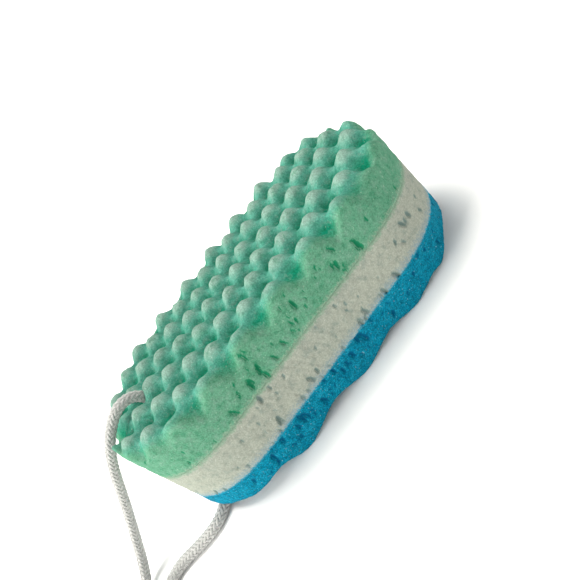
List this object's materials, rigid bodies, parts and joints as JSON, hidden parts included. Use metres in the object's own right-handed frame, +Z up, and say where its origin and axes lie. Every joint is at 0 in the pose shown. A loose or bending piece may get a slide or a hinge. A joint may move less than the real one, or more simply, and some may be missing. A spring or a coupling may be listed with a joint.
{
  "type": "layered bath massage sponge with hanging cord",
  "caption": "Long three-layer foam bath sponge with a convoluted massage face, a wavy underside and a knotted hanging cord through one end.",
  "frame": {"origin": "middle of the sponge's footprint, on the surface that its blue wave crests rest on", "axes": "+X along the sponge away from the cord hole, +Y across it, +Z up out of the green massage face"},
  "size_m": [0.2122, 0.0869, 0.0556],
  "materials": {
    "mint_foam": "matt open-cell foam with fine pores",
    "cream_foam": "matt open-cell foam with coarse pores",
    "blue_foam": "matt open-cell foam with fine pores",
    "clear_glue": "thin flexible adhesive film",
    "braided_cord": "soft braided synthetic cord"
  },
  "bodies": {
    "sponge": {"green_massage_layer": "mint_foam", "white_core_layer": "cream_foam", "blue_wave_layer": "blue_foam", "glue_film_upper": "clear_glue", "glue_film_lower": "clear_glue"},
    "cord_loop": {"cord_through_sponge": "braided_cord", "cord_upper_strand": "braided_cord", "cord_lower_strand": "braided_cord", "cord_knot": "braided_cord", "cord_tail_left": "braided_cord", "cord_tail_right": "braided_cord"}
  },
  "joints": [
    {"name": "cord_swing", "type": "hinge", "parent": "sponge", "child": "cord_loop", "pos_m": [-0.0545, -0.0013, 0], "axis": [0, 0, 1], "range_deg": [-10, 6]}
  ]
}
